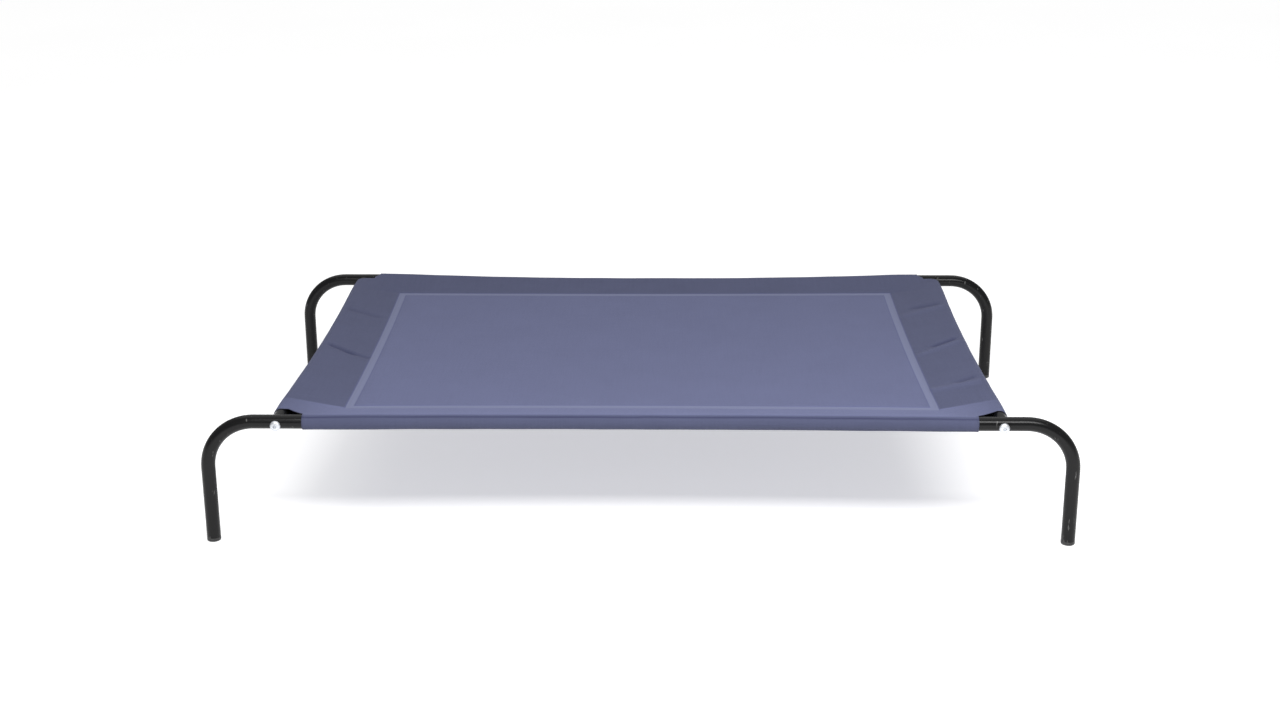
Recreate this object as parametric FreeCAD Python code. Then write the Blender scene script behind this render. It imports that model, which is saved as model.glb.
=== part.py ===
import FreeCAD, Part
import math
import os

from FreeCAD import Vector

# Raised dog bed: a sling of coated fabric stretched on a tubular steel frame.
# Millimetres. +Z is up, X runs along the long sides, and the origin is on the floor
# under the middle of the bed.

# ---------------------------------------------------------------- driving dimensions
overall_length = 1300.0        # over the legs, along X
overall_width = 800.0          # over the legs, along Y (the bolt heads stand proud of it)
overall_height = 200.0         # floor to the top of the tubes

tube_diameter = 21.0
tube_wall = 1.0
bend_radius = 72.0             # centreline of the leg bends

end_rail_setback = 106.5       # leg axis to end-rail axis, along X
end_rail_drop = 3.0            # side-tube axis down to the end-rail axis and its screws
cope_lip = 5.0                 # how far the coped ends of a rail reach past the tube's face
side_bow = 15.5                # how far the sling pulls each long side in at its middle
side_bow_drop = 3.7            # and how far down
end_bow = 6.0                  # how far the sling pulls each end rail in at its middle
bow_lead = 60.0                # length over which a tube turns into its bow
side_bow_start = 28.0          # end-rail axis to the start of the side bow
end_bow_start = 45.0           # side-tube axis to the start of the end-rail bow

spigot_length = 45.0           # swaged end that joins the two tubes of a long side
spigot_clearance = 0.3         # on the radius, in its neighbour's bore
spigot_shoulder = 6.0          # length of the cone between full diameter and spigot
joint_straight = 52.0          # straight length either side of the centre joint

thread_diameter = 8.0          # M8 button-head screws
bolt_hole_clearance = 0.5      # on the radius, in the long sides
bolt_head_diameter = 15.5
bolt_head_height = 4.5
bolt_socket_across_flats = 5.0
bolt_socket_depth = 2.8
bolt_engagement = 18.5         # thread held in the insert
insert_length = 25.0
insert_bore_clearance = 0.1    # on the radius, between thread and insert

foot_flange = 6.0              # plastic between tube end and floor
foot_edge_radius = 2.5
foot_stem_length = 22.0
foot_stem_wall = 2.7
foot_rib_width = 2.0
foot_rib_height = 0.7
foot_rib_count = 3

cloth_thickness = 0.9
weld_width = 9.0               # pressed strip that closes each hem
side_weld_setback = 79.0       # side-tube axis to the middle of its weld
end_weld_setback = 93.0        # end-rail axis to the middle of its weld
weld_drop = 4.0                # tube axis to the weld, down
front_hem_setback = 39.0       # end-rail axis to the mouths of the front hem
rear_hem_setback = 28.0        # end-rail axis to the mouths of the rear hem
front_mouth_setback = 34.0     # front tube axis to the front mouths of the end hems
rear_mouth_setback = 14.0      # rear tube axis to their rear mouths
panel_sag = 8.0                # middle of the sling below its welds

side_hem_spans = 16            # stretches that a hem's loop is lofted through
end_hem_spans = 12
panel_spans = 8

# ---------------------------------------------------------------- clearances
seat_gap = 0.2                 # between tubes, inserts and plugs that seat on each other
head_gap = 0.05                # screw head to tube
cloth_gap = 0.4                # hem to the tube inside it
seam_gap = 0.2                 # between neighbouring parts of the sling

# ---------------------------------------------------------------- derived places
tube_radius = tube_diameter / 2
bore_radius = tube_radius - tube_wall
leg_x = overall_length / 2 - tube_radius
leg_y = overall_width / 2 - tube_radius
axis_z = overall_height - tube_radius
rail_z = axis_z - end_rail_drop
end_rail_x = leg_x - end_rail_setback
weld_x = end_rail_x - end_weld_setback
weld_y = leg_y - side_weld_setback
weld_z = axis_z - weld_drop
front_corner = (end_rail_x - front_hem_setback, leg_y - front_mouth_setback)
rear_corner = (end_rail_x - rear_hem_setback, leg_y - rear_mouth_setback)

MIRROR_X = Vector(1, 0, 0)
MIRROR_Y = Vector(0, 1, 0)
ORIGIN = Vector(0, 0, 0)


# ---------------------------------------------------------------- paths of the tubes
class Bow:
    """Half of a tube that a sling has pulled in: straight, short arc, long arc, straight.

    Distances run from the middle of the tube outwards.
    """

    def __init__(self, start, middle_straight, inset):
        run = start - middle_straight
        self.turn = 2 * math.atan(inset / run)
        self.start = start
        self.lead_end = start - bow_lead
        self.middle = middle_straight
        self.inset = inset
        self.lead_radius = bow_lead / math.sin(self.turn)
        self.long_radius = (run - bow_lead) / math.sin(self.turn)

    def at(self, distance):
        """How far in the tube is at this distance from its middle."""
        if distance >= self.start:
            return 0.0
        if distance >= self.lead_end:
            along = self.start - distance
            return self.lead_radius - math.sqrt(self.lead_radius ** 2 - along ** 2)
        along = max(distance - self.middle, 0.0)
        rise = self.long_radius - math.sqrt(self.long_radius ** 2 - along ** 2)
        return self.inset - rise


side_path = Bow(end_rail_x - side_bow_start, joint_straight, math.hypot(side_bow, side_bow_drop))
end_path = Bow(leg_y - end_bow_start, 0.0, end_bow)
side_tilt = math.atan2(side_bow_drop, side_bow)


def side_axis(x):
    """Point on the axis of the front long side."""
    inset = side_path.at(abs(x))
    return Vector(x, -leg_y + inset * math.cos(side_tilt), axis_z - inset * math.sin(side_tilt))


def end_axis(y):
    """Point on the axis of the right end rail."""
    return Vector(end_rail_x - end_path.at(abs(y)), y, rail_z)


def arc_edge(axis_point, first, last):
    """Edge of the circular stretch of a tube axis between two distances."""
    middle = (first + last) / 2
    return Part.Arc(axis_point(first), axis_point(middle), axis_point(last)).toShape()


def line_edge(start, end):
    return Part.LineSegment(start, end).toShape()


def leg_and_side_wire():
    """Axis of the front right tube, from the bottom of its leg to the centre joint."""
    foot_end = Vector(leg_x, -leg_y, foot_flange)
    bend_start = Vector(leg_x, -leg_y, axis_z - bend_radius)
    diagonal = bend_radius * (1 - math.cos(math.pi / 4))
    bend_middle = Vector(leg_x - diagonal, -leg_y, axis_z - diagonal)
    bend_end = Vector(leg_x - bend_radius, -leg_y, axis_z)
    edges = [
        line_edge(foot_end, bend_start),
        Part.Arc(bend_start, bend_middle, bend_end).toShape(),
        line_edge(bend_end, side_axis(side_path.start)),
        arc_edge(side_axis, side_path.start, side_path.lead_end),
        arc_edge(side_axis, side_path.lead_end, side_path.middle),
        line_edge(side_axis(side_path.middle), side_axis(0)),
    ]
    return Part.Wire(edges)


def end_rail_wire():
    """Axis of the right end rail, from the front long side to the rear one."""
    tip = leg_y - tube_radius + cope_lip
    edges = [
        line_edge(end_axis(-tip), end_axis(-end_path.start)),
        arc_edge(end_axis, -end_path.start, -end_path.lead_end),
        arc_edge(end_axis, -end_path.lead_end, end_path.lead_end),
        arc_edge(end_axis, end_path.lead_end, end_path.start),
        line_edge(end_axis(end_path.start), end_axis(tip)),
    ]
    return Part.Wire(edges)


def rod_along(wire, radius):
    """Round bar of this radius along an axis wire."""
    first = wire.OrderedEdges[0]
    start = first.valueAt(first.FirstParameter)
    direction = first.tangentAt(first.FirstParameter)
    profile = Part.Wire(Part.Circle(start, direction, radius).toShape())
    return wire.makePipeShell([profile], True, False)


# ---------------------------------------------------------------- steel frame
def front_right_tube(with_spigot):
    """One leg bent over into half a long side; its other end plugs into its neighbour."""
    wire = leg_and_side_wire()
    tube = rod_along(wire, tube_radius).cut(rod_along(wire, bore_radius))
    hole_length = 2 * tube_diameter
    hole_start = Vector(end_rail_x, -leg_y - tube_diameter, rail_z)
    hole_radius = thread_diameter / 2 + bolt_hole_clearance
    hole = Part.makeCylinder(hole_radius, hole_length, hole_start, MIRROR_Y)
    tube = tube.cut(hole)
    if with_spigot:
        tube = tube.fuse(spigot()).removeSplitter()
    return tube


def spigot():
    """Swaged-down end that reaches past the middle into the other tube of the side."""
    middle = side_axis(0)
    along = Vector(-1, 0, 0)
    neck_radius = bore_radius - spigot_clearance
    cone_start = middle + Vector(spigot_shoulder, 0, 0)
    cone = Part.makeCone(bore_radius, neck_radius - tube_wall, spigot_shoulder, cone_start, along)
    collar = Part.makeCylinder(bore_radius, spigot_shoulder, cone_start, along)
    neck_outer = Part.makeCylinder(neck_radius, spigot_length, middle, along)
    neck_bore = Part.makeCylinder(neck_radius - tube_wall, spigot_length, middle, along)
    return collar.cut(cone).fuse(neck_outer.cut(neck_bore))


def right_end_rail():
    """Cross tube under a short end, its ends coped to sit on the long sides."""
    wire = end_rail_wire()
    rail = rod_along(wire, tube_radius).cut(rod_along(wire, bore_radius))
    cope_radius = tube_radius + seat_gap
    cope_length = 4 * tube_diameter
    for side in (-1, 1):
        cope_start = Vector(end_rail_x - cope_length / 2, side * leg_y, axis_z)
        rail = rail.cut(Part.makeCylinder(cope_radius, cope_length, cope_start, MIRROR_X))
    return rail


def front_right_insert():
    """Steel insert with an M8 thread, pressed into the end of an end rail."""
    start = Vector(end_rail_x, -leg_y + tube_radius + seat_gap, rail_z)
    body = Part.makeCylinder(bore_radius - seat_gap / 2, insert_length, start, MIRROR_Y)
    thread_radius = thread_diameter / 2 + insert_bore_clearance
    bore = Part.makeCylinder(thread_radius, insert_length, start, MIRROR_Y)
    return body.cut(bore)


def front_right_bolt():
    """Button-head screw through the long side into the end rail's insert."""
    seat = Vector(end_rail_x, -leg_y - tube_radius - head_gap, rail_z)
    length = head_gap + tube_diameter + seat_gap + bolt_engagement
    shank = Part.makeCylinder(thread_diameter / 2, length, seat, MIRROR_Y)
    screw = shank.fuse(button_head(seat))
    socket_radius = bolt_socket_across_flats / math.sqrt(3)
    face = seat - Vector(0, bolt_head_height, 0)
    corners = [
        face + Vector(socket_radius * math.cos(turn), 0, socket_radius * math.sin(turn))
        for turn in [math.radians(60 * step) for step in range(6)]
    ]
    hexagon = Part.Face(Part.makePolygon(corners + corners[:1]))
    return screw.cut(hexagon.extrude(Vector(0, bolt_socket_depth, 0)))


def button_head(seat):
    """Domed head, turned about the screw's axis."""
    rim_height = bolt_head_height / 4
    crown_radius = bolt_head_diameter / 4
    rim_radius = bolt_head_diameter / 2
    dome_reach = (rim_radius + crown_radius) / 2
    dome_height = (rim_height + 3 * bolt_head_height) / 4
    points = [
        seat,
        seat + Vector(rim_radius, 0, 0),
        seat + Vector(rim_radius, -rim_height, 0),
        seat + Vector(crown_radius, -bolt_head_height, 0),
        seat + Vector(0, -bolt_head_height, 0),
    ]
    dome_middle = seat + Vector(dome_reach, -dome_height, 0)
    outline = Part.Wire([
        line_edge(points[0], points[1]),
        line_edge(points[1], points[2]),
        Part.Arc(points[2], dome_middle, points[3]).toShape(),
        line_edge(points[3], points[4]),
        line_edge(points[4], points[0]),
    ])
    return Part.Face(outline).revolve(seat, MIRROR_Y, 360)


def front_right_foot():
    """Moulded plug pushed into the bottom of a leg, with ribs that grip the bore."""
    floor_point = Vector(leg_x, -leg_y, 0)
    flange = Part.makeCylinder(tube_radius, foot_flange - seat_gap / 2, floor_point)
    bottom_edge = [edge for edge in flange.Edges if edge.BoundBox.ZMax < foot_flange / 4]
    flange = flange.makeFillet(foot_edge_radius, bottom_edge)
    top = floor_point + Vector(0, 0, foot_flange - seat_gap / 2)
    rib_radius = bore_radius - seat_gap / 2
    stem_radius = rib_radius - foot_rib_height
    plug = flange.fuse(Part.makeCylinder(stem_radius, foot_stem_length, top))
    rib_pitch = foot_stem_length / foot_rib_count
    for rib in range(foot_rib_count):
        rib_start = top + Vector(0, 0, (rib + 0.5) * rib_pitch)
        plug = plug.fuse(Part.makeCylinder(rib_radius, foot_rib_width, rib_start))
    cavity_start = top - Vector(0, 0, foot_flange / 3)
    cavity_radius = stem_radius - foot_stem_wall
    cavity = Part.makeCylinder(cavity_radius, foot_stem_length + foot_flange, cavity_start)
    return plug.cut(cavity)


# ---------------------------------------------------------------- sling
def tangent_points(radius, point):
    """Where the two lines from a point touch a circle round the section's centre."""
    distance = math.hypot(point[0], point[1])
    bearing = math.atan2(point[1], point[0])
    half_angle = math.acos(radius / distance)
    return bearing + half_angle, bearing - half_angle


def hem_sections(place, weld_reach, weld_height):
    """Outer and inner outlines of a hem: a loop round the tube that closes at the weld.

    place turns (distance in from the tube axis, height over it) into a point.
    """
    inner_radius = tube_radius + cloth_gap
    outer_radius = inner_radius + cloth_thickness
    weld_start = weld_reach - weld_width / 2
    weld_end = weld_reach + weld_width / 2
    upper = (weld_start, weld_height + cloth_thickness)
    lower = (weld_start, weld_height - cloth_thickness)
    apex = (weld_start, weld_height)

    def on_circle(radius, angle):
        return place(radius * math.cos(angle), radius * math.sin(angle))

    top = tangent_points(outer_radius, upper)[0]
    bottom = tangent_points(outer_radius, lower)[1]
    outer = Part.Wire([
        line_edge(place(weld_end, upper[1]), place(*upper)),
        line_edge(place(*upper), on_circle(outer_radius, top)),
        Part.Arc(
            on_circle(outer_radius, top),
            on_circle(outer_radius, (top + bottom) / 2 + math.pi),
            on_circle(outer_radius, bottom),
        ).toShape(),
        line_edge(on_circle(outer_radius, bottom), place(*lower)),
        line_edge(place(*lower), place(weld_end, lower[1])),
        line_edge(place(weld_end, lower[1]), place(weld_end, upper[1])),
    ])
    top, bottom = tangent_points(inner_radius, apex)
    inner = Part.Wire([
        line_edge(place(*apex), on_circle(inner_radius, top)),
        Part.Arc(
            on_circle(inner_radius, top),
            on_circle(inner_radius, (top + bottom) / 2 + math.pi),
            on_circle(inner_radius, bottom),
        ).toShape(),
        line_edge(on_circle(inner_radius, bottom), place(*apex)),
    ])
    return outer, inner


def hem_solid(sections):
    outer = Part.makeLoft([pair[0] for pair in sections], True, False)
    inner = Part.makeLoft([pair[1] for pair in sections], True, False)
    return outer.cut(inner)


def stations(first, last, count):
    """Evenly spaced places from one mouth of a hem to the other."""
    return [first + (last - first) * place / count for place in range(count + 1)]


def plan_prism(corners):
    """Upright block with this plan outline, taller than the sling."""
    bottom = axis_z - 2 * tube_diameter
    points = [Vector(x, y, bottom) for x, y in corners]
    return Part.Face(Part.makePolygon(points + points[:1])).extrude(Vector(0, 0, 4 * tube_diameter))


def on_mitre(corner, inset_x=0.0, inset_y=0.0):
    """Place inside the weld, on the line where a side hem and an end hem meet."""
    slope = (corner[1] - weld_y) / (corner[0] - weld_x)
    inset = inset_x if inset_x else inset_y / slope
    return weld_x - inset, weld_y - inset * slope


def side_hem(corner):
    """Hem on the front long side, mitred where it meets the hems of the ends."""
    def section(x):
        axis = side_axis(x)
        reach = -weld_y - axis.y
        return hem_sections(lambda a, b: axis + Vector(0, a, b), reach, weld_z - axis.z)

    mouth_x, mouth_y = corner
    reach_x = mouth_x + seam_gap
    loop = hem_solid([section(x) for x in stations(-reach_x, reach_x, side_hem_spans)])
    inner_x, inner_y = on_mitre(corner, inset_y=weld_width / 2)
    outside = -leg_y - tube_diameter
    plan = [
        (-mouth_x, outside),
        (mouth_x, outside),
        (mouth_x, -mouth_y - seam_gap),
        (inner_x, -inner_y - seam_gap),
        (-inner_x, -inner_y - seam_gap),
        (-mouth_x, -mouth_y - seam_gap),
    ]
    return loop.common(plan_prism(plan))


def right_hem():
    """Hem on the right end rail, whose front and rear mouths differ."""
    def section(y):
        axis = end_axis(y)
        reach = axis.x - weld_x
        return hem_sections(lambda a, b: axis + Vector(-a, 0, b), reach, weld_z - axis.z)

    front_x, front_y = front_corner
    rear_x, rear_y = rear_corner
    places = stations(-front_y - seam_gap, rear_y + seam_gap, end_hem_spans)
    loop = hem_solid([section(y) for y in places])
    front_inner_x, front_inner_y = on_mitre(front_corner, inset_x=weld_width / 2)
    rear_inner_x, rear_inner_y = on_mitre(rear_corner, inset_x=weld_width / 2)
    outside = end_rail_x + tube_diameter
    plan = [
        (outside, -front_y),
        (outside, rear_y),
        (rear_x + seam_gap, rear_y),
        (rear_inner_x + seam_gap, rear_inner_y),
        (front_inner_x + seam_gap, -front_inner_y),
        (front_x + seam_gap, -front_y),
    ]
    return loop.common(plan_prism(plan))


def sling_panel():
    """Single sheet inside the welds, sagging a little under its own weight."""
    half_x = weld_x - weld_width / 2 - seam_gap
    half_y = weld_y - weld_width / 2 - seam_gap
    places = [2 * place / panel_spans - 1 for place in range(panel_spans + 1)]
    rows = []
    for v in places:
        row = []
        for u in places:
            sag = panel_sag * (1 - u * u) * (1 - v * v)
            row.append(Vector(half_x * u, half_y * v, weld_z + cloth_thickness - sag))
        rows.append(row)
    surface = Part.BSplineSurface()
    surface.interpolate(rows)
    top = surface.toShape()
    bottom = top.copy()
    bottom.translate(Vector(0, 0, -cloth_thickness))
    walls = [
        Part.makeRuledSurface(upper, lower)
        for upper, lower in zip(top.Edges, bottom.Edges)
    ]
    shell = Part.makeShell([top, bottom] + walls)
    shell.sewShape()
    return Part.makeSolid(shell)


# ---------------------------------------------------------------- assembly
def whole(shape):
    """The single outward-facing solid of a shape."""
    solid = shape.Solids[0]
    if solid.Volume < 0:
        solid.reverse()
    return solid


def at_corner(shape, front, right):
    """A front right piece, mirrored to one of the four corners."""
    if not front:
        shape = shape.mirror(ORIGIN, MIRROR_Y)
    if not right:
        shape = shape.mirror(ORIGIN, MIRROR_X)
    return shape


def build():
    nodes = {}
    plain_tube = front_right_tube(with_spigot=False)
    spigot_tube = front_right_tube(with_spigot=True)
    insert = front_right_insert()
    bolt = front_right_bolt()
    foot = front_right_foot()
    for front in (True, False):
        for right in (True, False):
            corner = ("front" if front else "rear") + ("_right" if right else "_left")
            tube = plain_tube if front == right else spigot_tube
            nodes["leg_tube_" + corner] = at_corner(tube, front, right)
            nodes["rail_insert_" + corner] = at_corner(insert, front, right)
            nodes["bolt_" + corner] = at_corner(bolt, front, right)
            nodes["foot_" + corner] = at_corner(foot, front, right)
    rail = right_end_rail()
    end_hem = right_hem()
    nodes["end_rail_right"] = rail
    nodes["end_rail_left"] = rail.mirror(ORIGIN, MIRROR_X)
    nodes["sling_hem_right"] = end_hem
    nodes["sling_hem_left"] = end_hem.mirror(ORIGIN, MIRROR_X)
    nodes["sling_hem_front"] = side_hem(front_corner)
    nodes["sling_hem_rear"] = side_hem(rear_corner).mirror(ORIGIN, MIRROR_Y)
    nodes["sling_panel"] = sling_panel()
    return nodes


os.makedirs("parts", exist_ok=True)
for name, shape in build().items():
    whole(shape).exportStep("parts/" + name + ".step")
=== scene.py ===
import math

import bpy
from mathutils import Matrix, Vector, noise


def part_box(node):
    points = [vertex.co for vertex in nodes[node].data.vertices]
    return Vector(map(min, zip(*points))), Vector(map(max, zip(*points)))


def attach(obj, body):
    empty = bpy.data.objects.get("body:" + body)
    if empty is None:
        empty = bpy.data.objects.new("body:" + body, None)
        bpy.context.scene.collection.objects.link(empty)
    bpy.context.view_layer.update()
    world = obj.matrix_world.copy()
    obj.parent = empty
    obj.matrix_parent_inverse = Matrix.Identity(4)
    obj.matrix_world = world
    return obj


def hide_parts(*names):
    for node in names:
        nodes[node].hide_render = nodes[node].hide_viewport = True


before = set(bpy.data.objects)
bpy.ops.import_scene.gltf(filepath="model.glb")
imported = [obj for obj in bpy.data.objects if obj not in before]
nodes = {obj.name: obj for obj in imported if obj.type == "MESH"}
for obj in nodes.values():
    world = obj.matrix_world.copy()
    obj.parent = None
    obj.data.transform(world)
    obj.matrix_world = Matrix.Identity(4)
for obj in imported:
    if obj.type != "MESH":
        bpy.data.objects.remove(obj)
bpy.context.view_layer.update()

# Raised dog bed: a sling of coated cloth stretched on a frame of bent steel tube. Metres, +Z up,
# +X to the right of someone who faces the long side, floor at z = 0.

MM = 0.001


# ---------------------------------------------------------------- steel tubes
# Four bent side tubes, each a leg and half of a long side, and two cross tubes under the ends.
# Drawn steel tube, 21 mm across, bent cold and powder coated satin black. The halves of a side
# push together at its middle, and a screw at each corner pulls the cross tube against the side.

side_tubes = [f"leg_tube_{corner}" for corner in ("front_left", "front_right", "rear_left", "rear_right")]
cross_tubes = ["end_rail_left", "end_rail_right"]

TUBE_RADIUS = 10.5 * MM


def linear(hex_colour):
    """An sRGB colour such as 1c1c1d as the linear RGBA that shaders take."""
    channels = [int(hex_colour[i:i + 2], 16) / 255 for i in (0, 2, 4)]
    return [c / 12.92 if c < 0.04045 else ((c + 0.055) / 1.055) ** 2.4 for c in channels] + [1]


def add(tree, kind, inputs=None, **settings):
    """Adds one node: settings are its own properties, inputs fill its sockets by name or number, with
    a value, another node's socket, or another node, for its first output."""
    made = tree.nodes.new(kind)
    for name, value in settings.items():
        setattr(made, name, value)
    for key, value in (inputs or {}).items():
        if isinstance(value, bpy.types.Node):
            value = value.outputs[0]
        if isinstance(value, bpy.types.NodeSocket):
            tree.links.new(value, made.inputs[key])
        else:
            made.inputs[key].default_value = value
    return made


def new_finish(name, **look):
    """A new material, its tree and its shader, with look set on the shader's own sockets."""
    material = bpy.data.materials.new(name)
    material.use_nodes = True
    shader = material.node_tree.nodes["Principled BSDF"]
    for socket, value in look.items():
        shader.inputs[socket.replace("_", " ")].default_value = value
    return material, material.node_tree, shader


# Powder coat: sprayed as a dry powder and baked, so it is an even satin black with a fine
# orange-peel skin. Near the floor it is scuffed grey, where it is dragged and kicked.
COAT_DARK = linear("09090a")
COAT_LIGHT = linear("121213")
COAT_SCUFF = linear("5b5b5a")
PEEL_SIZE = 1.6 * MM            # real orange peel is about 0.8 mm, drawn twice as coarse to show
CLOUD_SIZE = 60 * MM            # how far apart the coat's thick and thin places lie
SCUFF_SIZE = 5 * MM
SCUFF_TOP = 60 * MM             # height above the floor where the scuffs end

powder_coat, tree, shader = new_finish(
    "satin_black_powder_coat", Metallic=0.0, IOR=1.5, Coat_Weight=0.05, Coat_Roughness=0.3
)
shader.inputs["Specular IOR Level"].default_value = 0.2
place = add(tree, "ShaderNodeTexCoord").outputs["Object"]
peel = add(tree, "ShaderNodeTexNoise", {"Vector": place, "Scale": 1 / PEEL_SIZE, "Detail": 2.0})
cloud = add(tree, "ShaderNodeTexNoise", {"Vector": place, "Scale": 1 / CLOUD_SIZE, "Detail": 4.0})
scratch = add(tree, "ShaderNodeMapping", {"Vector": place, "Scale": (1.0, 1.0, 0.25)})
scuff = add(
    tree, "ShaderNodeTexNoise", {"Vector": scratch.outputs[0], "Scale": 1 / SCUFF_SIZE, "Detail": 6.0}
)
height = add(tree, "ShaderNodeSeparateXYZ", {0: place}).outputs["Z"]
near_floor = add(
    tree, "ShaderNodeMapRange",
    {"Value": height, "From Min": 0.0, "From Max": SCUFF_TOP, "To Min": 0.09, "To Max": 0.0},
)
scuffed = add(tree, "ShaderNodeMath", {0: scuff.outputs["Fac"], 1: near_floor.outputs[0]}, operation="ADD")
scuff_mask = add(
    tree, "ShaderNodeMapRange", {"Value": scuffed.outputs[0], "From Min": 0.66, "From Max": 0.74}
)
coat_tone = add(
    tree, "ShaderNodeMix", {"Factor": cloud.outputs["Fac"], 6: COAT_DARK, 7: COAT_LIGHT}, data_type="RGBA"
)
coat_colour = add(
    tree, "ShaderNodeMix", {"Factor": scuff_mask, 6: coat_tone.outputs[2], 7: COAT_SCUFF}, data_type="RGBA"
)
coat_gloss = add(
    tree, "ShaderNodeMapRange", {"Value": cloud.outputs["Fac"], "To Min": 0.20, "To Max": 0.28}
)
peel_bump = add(
    tree, "ShaderNodeBump", {"Height": peel.outputs["Fac"], "Strength": 0.25, "Distance": 0.1 * MM}
)
tree.links.new(coat_colour.outputs[2], shader.inputs["Base Color"])
tree.links.new(coat_gloss.outputs[0], shader.inputs["Roughness"])
tree.links.new(peel_bump.outputs[0], shader.inputs["Normal"])

for name in side_tubes + cross_tubes:
    nodes[name].material_slots[0].material = powder_coat


# ---------------------------------------------------------------- foot plugs
# Four plugs pushed up into the legs: black polypropylene, moulded, with three ribs on the stem
# that grip the bore. Only the collar between the tube and the floor shows.

# Moulded plastic: the tool is spark eroded, which leaves a fine matt grain. It picks up dust.
PLUG_BLACK = linear("262627")
PLUG_DUST = linear("4a4947")
GRAIN_SIZE = 0.9 * MM           # the real grain is about 0.3 mm, drawn coarser to show

moulded_plastic, tree, shader = new_finish("moulded_black_polypropylene", Roughness=0.55, IOR=1.49)
place = add(tree, "ShaderNodeTexCoord").outputs["Object"]
grain = add(tree, "ShaderNodeTexNoise", {"Vector": place, "Scale": 1 / GRAIN_SIZE, "Detail": 3.0})
dust = add(tree, "ShaderNodeTexNoise", {"Vector": place, "Scale": 120.0, "Detail": 5.0})
dust_mask = add(
    tree, "ShaderNodeMapRange", {"Value": dust.outputs["Fac"], "From Min": 0.45, "From Max": 0.8}
)
plug_colour = add(
    tree, "ShaderNodeMix", {"Factor": dust_mask.outputs[0], 6: PLUG_BLACK, 7: PLUG_DUST}, data_type="RGBA"
)
grain_bump = add(
    tree, "ShaderNodeBump", {"Height": grain.outputs["Fac"], "Strength": 0.4, "Distance": 0.1 * MM}
)
tree.links.new(plug_colour.outputs[2], shader.inputs["Base Color"])
tree.links.new(grain_bump.outputs[0], shader.inputs["Normal"])

for name in nodes:
    if name.startswith("foot_"):
        nodes[name].material_slots[0].material = moulded_plastic


# ---------------------------------------------------------------- inserts and screws
# A threaded steel insert is pressed into each end of a cross tube, and a button-head screw
# goes through the side tube into it. The screws are bright zinc plated, tightened with a key.

# Bright zinc plate: a thin electroplated skin over turned steel, pale and slightly blue, with
# the turning lines just showing through.
ZINC_PALE = linear("e2e5e9")
ZINC_DULL = linear("cccfd5")
TURNING_PITCH = 0.5 * MM        # turned at about 0.1 mm a turn, drawn coarser to show

zinc_plate, tree, shader = new_finish("bright_zinc_plate", Metallic=0.9)
place = add(tree, "ShaderNodeTexCoord").outputs["Object"]
stain = add(tree, "ShaderNodeTexNoise", {"Vector": place, "Scale": 200.0, "Detail": 2.0})
zinc_colour = add(
    tree, "ShaderNodeMix", {"Factor": stain.outputs["Fac"], 6: ZINC_PALE, 7: ZINC_DULL}, data_type="RGBA"
)
zinc_gloss = add(
    tree, "ShaderNodeMapRange", {"Value": stain.outputs["Fac"], "To Min": 0.46, "To Max": 0.56}
)
zinc_bump = add(
    tree, "ShaderNodeBump", {"Height": stain.outputs["Fac"], "Strength": 0.15, "Distance": 0.05 * MM}
)
tree.links.new(zinc_colour.outputs[2], shader.inputs["Base Color"])
tree.links.new(zinc_gloss.outputs[0], shader.inputs["Roughness"])
tree.links.new(zinc_bump.outputs[0], shader.inputs["Normal"])

# Turned steel: free-cutting bar from the lathe, left bare, grey with fine feed lines.
STEEL_GREY = linear("9b9da1")
STEEL_DARK = linear("77797d")

turned_steel, tree, shader = new_finish("turned_free_cutting_steel", Metallic=1.0, Roughness=0.38)
place = add(tree, "ShaderNodeTexCoord").outputs["Object"]
feed = add(
    tree, "ShaderNodeTexWave",
    {"Vector": place, "Scale": 1 / (2 * math.pi * TURNING_PITCH), "Distortion": 0.6},
    bands_direction="Y",
)
steel_colour = add(
    tree, "ShaderNodeMix", {"Factor": feed.outputs["Fac"], 6: STEEL_GREY, 7: STEEL_DARK}, data_type="RGBA"
)
feed_bump = add(
    tree, "ShaderNodeBump", {"Height": feed.outputs["Fac"], "Strength": 0.3, "Distance": 0.05 * MM}
)
tree.links.new(steel_colour.outputs[2], shader.inputs["Base Color"])
tree.links.new(feed_bump.outputs[0], shader.inputs["Normal"])

for name in nodes:
    if name.startswith("rail_insert_"):
        nodes[name].material_slots[0].material = turned_steel

# The screws repeat at the four corners. Each is turned as one piece: a domed button head with a
# hexagon socket for the key, and a rolled metric thread that reaches into the insert.
HEAD_DIAMETER = 15.5 * MM
HEAD_HEIGHT = 4.5 * MM
SOCKET_WIDTH = 5.0 * MM         # across the flats
SOCKET_DEPTH = 2.8 * MM
THREAD_DIAMETER = 8.0 * MM
THREAD_PITCH = 1.25 * MM
THREAD_DEPTH = 0.70 * MM

tree = bpy.data.node_groups.new("button head screws", "GeometryNodeTree")
tree.interface.new_socket("Geometry", in_out="OUTPUT", socket_type="NodeSocketGeometry")
tree.interface.new_socket("Seats", in_out="INPUT", socket_type="NodeSocketGeometry")
screw_inputs = {}
size_names = (
    "Head Radius", "Head Height", "Socket Radius", "Socket Depth",
    "Length", "Thread Radius", "Pitch", "Depth",
)
for name in size_names:
    made = tree.interface.new_socket(name, in_out="INPUT", socket_type="NodeSocketFloat")
    screw_inputs[name] = made.identifier
screw_inputs["Finish"] = tree.interface.new_socket(
    "Finish", in_out="INPUT", socket_type="NodeSocketMaterial"
).identifier
given = add(tree, "NodeGroupInput").outputs
along = add(tree, "ShaderNodeSeparateXYZ", {0: add(tree, "GeometryNodeInputPosition")})
around = add(tree, "ShaderNodeMath", {0: along.outputs["X"], 1: 2 * math.pi}, operation="MULTIPLY")
cosine = add(tree, "ShaderNodeMath", {0: around}, operation="COSINE")
sine = add(tree, "ShaderNodeMath", {0: around}, operation="SINE")

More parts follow.
